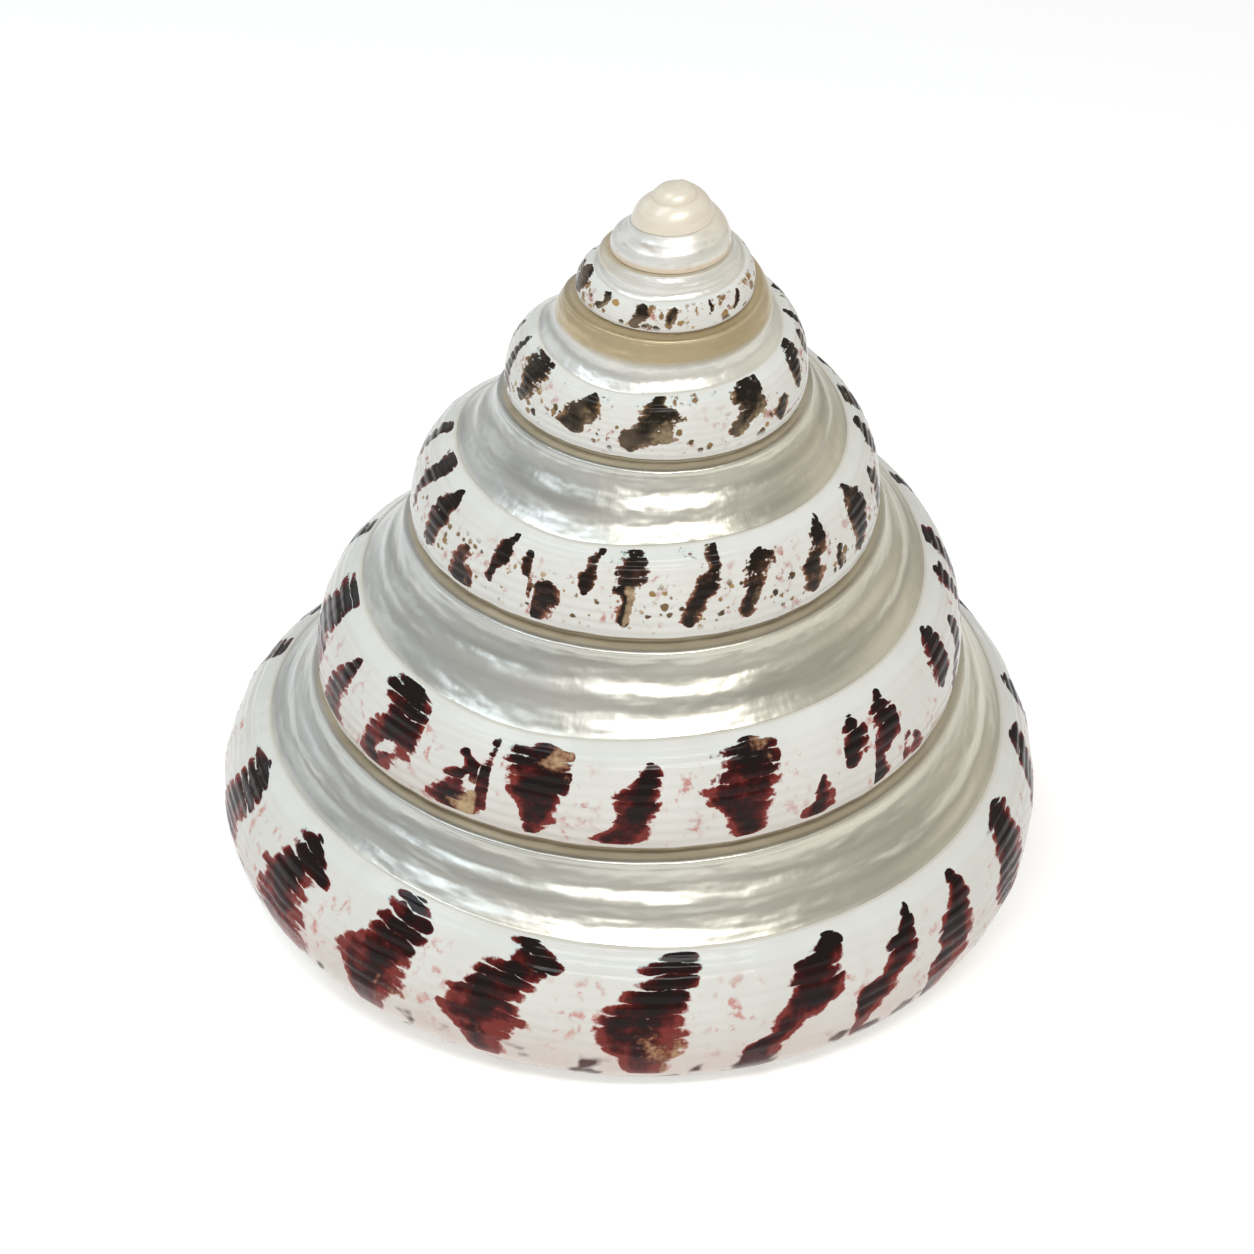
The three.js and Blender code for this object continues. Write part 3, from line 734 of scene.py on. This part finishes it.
# The pigment shines through the white round it, greenish by the tops of the flames and red lower.
tip_blur = rise(calc, depth, -0.35, 2.6)
high_up = calc("SUBTRACT", 1.0, calc("MULTIPLY", lower, 4.0, clamp=True))
tip_blur = calc("MULTIPLY", tip_blur, high_up)
white = blend(add, calc("MULTIPLY", tip_blur, 0.6), white, GREEN_BLUR)
halo = calc("MULTIPLY", calc("MULTIPLY", rise(calc, depth, -0.16, 4.0), 0.65), lower)
white = blend(add, halo, white, RED_HALO)
# Round brown dots in clusters, many on the oldest of the flamed whorls and few on the next two.
cells = add("TexVoronoi", {"Vector": add("CombineXYZ", {0: run, 1: down}).outputs[0],
                           "Scale": 1.5})
cell_draw = add("SeparateColor", {0: cells.outputs["Color"]}).outputs
dot_color = blend(add, cell_draw[1], TAN_DOT, BROWN_DOT)
oldest = rise(calc, turn, OLDEST_FROM, 5.0)
dot_size = calc("ADD", calc("MULTIPLY", cell_draw[0], 0.42), calc("MULTIPLY", oldest, 0.13))
dot_size = calc("ADD", dot_size, calc("MULTIPLY", calc("SUBTRACT", patch, 0.48), 1.3))
dot_size = calc("ADD", dot_size, swing(calc, grain, 0.5))
dot = rise(calc, dot_size, cells.outputs["Distance"], 9.0)
dot_rows = calc("ADD", oldest, window(calc, cords, *FEW_DOT_CORDS, 1.0), clamp=True)
dot_rows = calc("MULTIPLY", dot_rows, window(calc, cords, *DOT_CORDS, 1.0))
dot_rows = calc("MULTIPLY", window(calc, turn, *DOTTED_TURNS, 0.15), dot_rows)
white = blend(add, calc("MULTIPLY", dot, dot_rows), white, dot_color)
line = window(calc, across, PORCELAIN - 0.01, PORCELAIN + 0.012, 0.004)
white = blend(add, calc("MULTIPLY", line, 0.6), white, STEP_LINE)
color = blend(add, rise(calc, depth, -0.07, 4.0), white, dark)
# Below its last broad cord a whorl is ground to khaki against the next one, darkened with painted
# shade under its edge. The body whorl has a row of short dashes there.
ground_and_shaded = rise(calc, cords, KHAKI_CORD, 8.0)
ground_and_shaded = calc("MULTIPLY", ground_and_shaded, rise(calc, turn, FREE_EDGE_TO, 20.0))
color = blend(add, ground_and_shaded, color, blend(add, folds, SHADED_KHAKI_DARK, SHADED_KHAKI_LIGHT))
dash = noise_at(add, calc("MULTIPLY", run, 0.35), down, 1.0, 2.0, 9.0)
dash = rise(calc, dash, 0.55, 12.0)
dash = calc("MULTIPLY", dash, window(calc, cords, *DASH_CORDS, 0.25))
dash = calc("MULTIPLY", dash, calc("LESS_THAN", turn, FREE_EDGE_TO))
color = blend(add, calc("MULTIPLY", dash, 0.95), color, DASH_RED)
threads = noise_at(add, calc("MULTIPLY", run, 0.22), calc("MULTIPLY", down, 2.6), 1.0, 2.0, 14.0)
connect(skin, {"Base Color": color, "Roughness": 0.1, "Specular IOR Level": 0.13,
               "Normal": relief(add, more(calc, folds, threads, 0.12), 0.45, 0.0006)})

# Pearl: the layer of silky mother of pearl below the porcelain. It shows where the porcelain is
# ground away, on the slope of every whorl and all over the oldest ones.
DIM_SILVER, BRIGHT_SILVER = (0.46, 0.445, 0.39), (0.76, 0.735, 0.665)
CLOUDED_SILVER, MILKY_SILVER = (0.58, 0.62, 0.62), (0.76, 0.74, 0.69)
# The cold and khaki casts are painted light: the cool lamp's tint on the left and the warm one's
# on the right.
PAINTED_COLD_LIGHT, PAINTED_WARM_LIGHT = (0.925, 0.955, 1.0), (0.98, 0.93, 0.80)
DARK_KHAKI, LIGHT_KHAKI = (0.46, 0.40, 0.27), (0.64, 0.575, 0.43)
DARK_GOLD, LIGHT_GOLD = (0.37, 0.285, 0.15), (0.62, 0.51, 0.32)
EDGE_TAN, STAIN_BROWN, PEARL_LINE = (0.60, 0.45, 0.29), (0.42, 0.33, 0.24), (0.60, 0.57, 0.48)
DARK_IVORY, LIGHT_IVORY = (0.66, 0.57, 0.43), (0.76, 0.71, 0.60)
MILKY_FROM, CHANNEL_TO, LINE_TO, WORN_FROM, IVORY_FROM = 2.5, 4.2, 2.5, 4.5, 5.25  # turns
COLLAR_TINT_TURNS, STAIN_TURNS = (2.5, 3.95), (4.55, 5.3)
TOP = -0.1  # a share above the joint, so that a window is open at the top of the slope
CHANNEL_TO_SHARE, JOINT_TO_SHARE, COLLAR_TO_SHARE, WORN_SHARES = 0.058, 0.006, 0.27, (0.84, 1.1)

pearl, skin = new_material("pearl")
add, calc, parts = tools(pearl)
turn, across = parts("growth")


def streaks(turn_scale, across_scale, detail, z=0.0):
    """Noise drawn out along the growth."""
    return noise_at(add, calc("MULTIPLY", turn, turn_scale),
                    calc("MULTIPLY", across, across_scale), 1.0, detail, z)


strand = streaks(5.0, 11.0, 1.5)
cloud = streaks(22.0, 7.0, 2.0, 4.0)
ripples = streaks(95.0, 9.0, 2.0, 8.0)
silver = blend(add, rise(calc, strand, 0.3, 2.5), DIM_SILVER, BRIGHT_SILVER)
silver = blend(add, calc("MULTIPLY", cloud, 0.35), silver, CLOUDED_SILVER)
# Painted light: a khaki cast on the right side of the shell and a cold one on the left, for the
# warm and cool lamps on those sides.
side = calc("SINE", calc("MULTIPLY", turn, 2 * pi))
side = calc("ADD", calc("MULTIPLY", side, 0.5), 0.5, clamp=True)
silver = blend(add, 1.0, silver, blend(add, side, PAINTED_COLD_LIGHT, PAINTED_WARM_LIGHT), "MULTIPLY")
milky = rise(calc, turn, MILKY_FROM, 1.2)
silver = blend(add, calc("MULTIPLY", milky, 0.6), silver, MILKY_SILVER)
# The channel at the joint holds khaki, with painted shade darkest in the joint, and the collar is
# golden.
channel = calc("MULTIPLY", window(calc, across, TOP, CHANNEL_TO_SHARE, 0.012),
               fall(calc, turn, CHANNEL_TO, 4.0))
khaki = blend(add, cloud, DARK_KHAKI, LIGHT_KHAKI)
# Painted shade in the crease of the joint.
joint = window(calc, across, TOP, JOINT_TO_SHARE, 0.01)
khaki = blend(add, calc("MULTIPLY", joint, 0.85), khaki, SHADED_KHAKI_DARK)
silver = blend(add, channel, silver, khaki)
collar_tint = calc("MULTIPLY", window(calc, turn, *COLLAR_TINT_TURNS, 0.3),
                   window(calc, across, TOP, COLLAR_TO_SHARE, 0.05))
silver = blend(add, collar_tint, silver, blend(add, strand, DARK_GOLD, LIGHT_GOLD))
# The oldest whorls are pearl all over: stained along their lower edge, and ivory at the tip.
worn_edge = calc("MULTIPLY", window(calc, across, *WORN_SHARES, 0.08),
                 calc("GREATER_THAN", turn, WORN_FROM))
silver = blend(add, calc("MULTIPLY", worn_edge, 0.75), silver, EDGE_TAN)
stain = rise(calc, streaks(16.0, 4.0, 2.0, 6.0), 0.56, 7.0)
stain = calc("MULTIPLY", stain, window(calc, turn, *STAIN_TURNS, 0.1))
silver = blend(add, calc("MULTIPLY", stain, 0.5), silver, STAIN_BROWN)
line = window(calc, across, PORCELAIN - 0.02, PORCELAIN, 0.005)
line = calc("MULTIPLY", line, calc("LESS_THAN", turn, LINE_TO))
silver = blend(add, calc("MULTIPLY", line, 0.6), silver, PEARL_LINE)
age = more(calc, turn, calc("SUBTRACT", 1.0, across), 0.25)
age = calc("ADD", age, swing(calc, cloud, 0.5))
ivory = rise(calc, age, IVORY_FROM, 6.0)
silver = blend(add, calc("MULTIPLY", ivory, 0.92), silver,
               blend(add, strand, DARK_IVORY, LIGHT_IVORY))
metal = less(calc, less(calc, 0.85, milky, 0.45), ivory, 0.3)
metal = calc("MULTIPLY", metal, less(calc, 1.0, channel, 0.6))
height = calc("ADD", calc("MULTIPLY", strand, 0.3), calc("MULTIPLY", ripples, 0.25))
height = more(calc, height, cloud, 1.4)
smoother = calc("SUBTRACT", 1.15, calc("MULTIPLY", turn, 0.22), clamp=True)
height = calc("MULTIPLY", height, smoother)
connect(skin, {"Base Color": silver, "Metallic": metal, "Roughness": more(calc, 0.28, cloud, 0.16),
               "Coat Weight": 0.35, "Coat Roughness": 0.12,
               "Normal": relief(add, height, 0.32, 0.0008)})

# The underside: the base's porcelain, plainer and less polished. Short dashes of red pigment
# lie on its flat cords.
DULL_CREAM, BRIGHT_CREAM, BASE_DASH = (0.78, 0.755, 0.69), (0.86, 0.85, 0.81), (0.30, 0.07, 0.06)
DASHED_SHARES = (0.9, 1.78)

underside, skin = new_material("underside")
add, calc, parts = tools(underside)
turn, across = parts("growth")
cords = parts("marks")[1]
row = calc("FLOOR", cords)
dash = noise_at(add, calc("MULTIPLY", turn, 60.0), calc("MULTIPLY", row, 3.7), 1.0, 2.0)
in_row = calc("SUBTRACT", calc("MULTIPLY", calc("SUBTRACT", cords, row), 2.0), 1.0)
from_middle = calc("ABSOLUTE", in_row)
dash = less(calc, dash, from_middle, calc("MULTIPLY", from_middle, 0.16))
dash = rise(calc, dash, 0.55, 12.0)
dash = calc("MULTIPLY", dash, window(calc, across, *DASHED_SHARES, 0.12))
folds = noise_at(add, calc("MULTIPLY", turn, 40.0), across, 1.0, 3.0)
cream = blend(add, folds, DULL_CREAM, BRIGHT_CREAM)
cream = blend(add, calc("MULTIPLY", dash, 0.7), cream, BASE_DASH)
connect(skin, {"Base Color": cream, "Roughness": 0.22,
               "Normal": relief(add, folds, 0.15, 0.0006)})

# The lining: mother of pearl inside the aperture, laid on last and never worn, so it keeps its
# play of pale colours.
LINING_SILVER = (0.72, 0.71, 0.68)
RAINBOW = (
    (0.3, (0.62, 0.66, 0.64)), (0.42, (0.70, 0.60, 0.62)), (0.5, (0.60, 0.68, 0.60)),
    (0.6, (0.72, 0.68, 0.58)), (0.7, (0.62, 0.66, 0.72)))

lining, skin = new_material("lining")
add, calc, parts = tools(lining)
turn, across = parts("growth")
sheen = noise_at(add, calc("MULTIPLY", turn, 9.0), calc("MULTIPLY", across, 14.0), 1.0, 3.0)
connect(skin, {"Base Color": blend(add, 0.5, LINING_SILVER, ramp(add, sheen, RAINBOW)),
               "Metallic": 0.6, "Roughness": 0.24})

# The three grids get their finishes and are merged into one closed wall.
MERGE_WITHIN = 0.005 * MM
PEARL, PORCELAIN_SLOT, UNDERSIDE, LINING = range(4)
faces_across = wall_spots.shape[1] - 1
old = wall_turns[:-1, None] > PORCELAIN_TURNS
wall_slots = np.where((np.arange(faces_across) >= step_column) & ~old, PORCELAIN_SLOT, PEARL)
slots = ((wall_grid, wall_slots.reshape(-1)),
         (base_grid, np.full(len(base_grid.data.polygons), UNDERSIDE)),
         (hollow_grid, np.full(len(hollow_grid.data.polygons), LINING)))
bpy.ops.object.select_all(action="DESELECT")
for part, part_slots in slots:
    for finish in (pearl, porcelain, underside, lining):
        part.data.materials.append(finish)
    part.data.polygons.foreach_set("material_index", part_slots.astype(np.int32))
    part.select_set(True)
bpy.context.view_layer.objects.active = wall_grid
bpy.ops.object.join()
bpy.ops.object.mode_set(mode="EDIT")
bpy.ops.mesh.select_all(action="SELECT")
bpy.ops.mesh.remove_doubles(threshold=MERGE_WITHIN)
bpy.ops.mesh.normals_make_consistent(inside=False)
bpy.ops.mesh.flip_normals()  # the line above leaves this coiled, hollow form inside out
bpy.ops.object.mode_set(mode="OBJECT")
bpy.ops.object.shade_smooth()
shell = wall_grid
shell.name = "top_shell"
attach(shell, "root")
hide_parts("shell")

# The camera stands where the photograph was taken from, above the front and a long way off.
# Lengths in pixels are the photograph's.
VIEW_ELEVATION = radians(36.5)
VIEW_ROLL = radians(3.68)
PHOTO_SIDE = 1254
LENS_PIXELS = 4000
PIXEL = 0.07 * MM  # at the shell's middle
AIM_ABOVE_APEX = 2.45 * MM
AIM_PIXELS = (52.0, 450.7)  # that point from the picture's middle, to the right and up
MID_DEPTH_PIXELS = 220  # how far the shell's middle lies behind it
SENSOR = 36  # mm
forward = Vector((0, cos(VIEW_ELEVATION), -sin(VIEW_ELEVATION)))
level = Vector((1, 0, 0))
upright = Vector((0, sin(VIEW_ELEVATION), cos(VIEW_ELEVATION)))
right = cos(VIEW_ROLL) * level + sin(VIEW_ROLL) * upright
up = cos(VIEW_ROLL) * upright - sin(VIEW_ROLL) * level
aim = -AIM_PIXELS[0] * right - AIM_PIXELS[1] * up
eye = PIXEL * (aim + (MID_DEPTH_PIXELS - LENS_PIXELS) * forward) + Vector((0, 0, AIM_ABOVE_APEX))
camera = bpy.data.objects.new("camera", bpy.data.cameras.new("camera"))
bpy.context.scene.collection.objects.link(camera)
camera.data.sensor_width = SENSOR
camera.data.lens = SENSOR * LENS_PIXELS / PHOTO_SIDE
axes = Matrix((LEAN @ right, LEAN @ up, -(LEAN @ forward))).transposed()
camera.matrix_world = Matrix.Translation(LEAN @ eye + APEX) @ axes.to_4x4()
bpy.context.scene.camera = camera

# The floor: matt white paper. It gives off a little light, so that it runs into the white room
# round it as in the photograph.
FLOOR_SIZE = 2  # metres
PAPER_WHITE, PAPER_ROUGHNESS, PAPER_GLOW = (0.97, 0.97, 0.97, 1), 0.9, 0.22
bpy.ops.mesh.primitive_plane_add(size=FLOOR_SIZE, location=(0, 0, 0))
floor = bpy.context.object
floor.name = "floor"
paper, surface = new_material("paper")
connect(surface, {"Base Color": PAPER_WHITE, "Roughness": PAPER_ROUGHNESS,
                  "Emission Color": (1, 1, 1, 1), "Emission Strength": PAPER_GLOW})
floor.data.materials.append(paper)

# The studio: an even white room, a broad soft light above the front with a bright strip under it,
# a cool one on the left, and weak ones behind on both sides.
ROOM_WHITE, ROOM_STRENGTH = (1, 0.99, 0.97, 1), 0.47
LIGHT_AWAY, LIT_HEIGHT = 0.45, 0.025  # metres
world = bpy.data.worlds.new("studio")
bpy.context.scene.world = world
world.use_nodes = True
connect(world.node_tree.nodes["Background"], {"Color": ROOM_WHITE, "Strength": ROOM_STRENGTH})
bpy.context.scene.view_settings.view_transform = "Standard"


def softbox(name, azimuth, elevation, wide, tall, power, color=(1, 1, 1)):
    """A soft light round the shell: angles in degrees, the first one from the front to the
    right, sizes in metres and power in watts."""
    light = bpy.data.objects.new(name, bpy.data.lights.new(name, "AREA"))
    bpy.context.scene.collection.objects.link(light)
    light.data.shape = "ELLIPSE"
    light.data.size, light.data.size_y = wide, tall
    light.data.energy = power
    light.data.color = color
    turn_to, up_to = radians(azimuth), radians(elevation)
    way = Vector((sin(turn_to) * cos(up_to), -cos(turn_to) * cos(up_to), sin(up_to)))
    light.location = Vector((0, 0, LIT_HEIGHT)) + LIGHT_AWAY * way
    light.rotation_euler = way.to_track_quat("Z", "Y").to_euler()


softbox("key", 8, 54, 0.36, 0.12, 0.85)
softbox("strip", 6, 49, 0.3, 0.012, 0.2)
softbox("cool", -72, 58, 0.16, 0.24, 0.42, (0.76, 0.88, 1))
softbox("left", -128, 26, 0.3, 0.2, 0.09, (0.9, 0.96, 1))
softbox("warm", 110, 30, 0.3, 0.3, 0.08, (1, 0.93, 0.78))
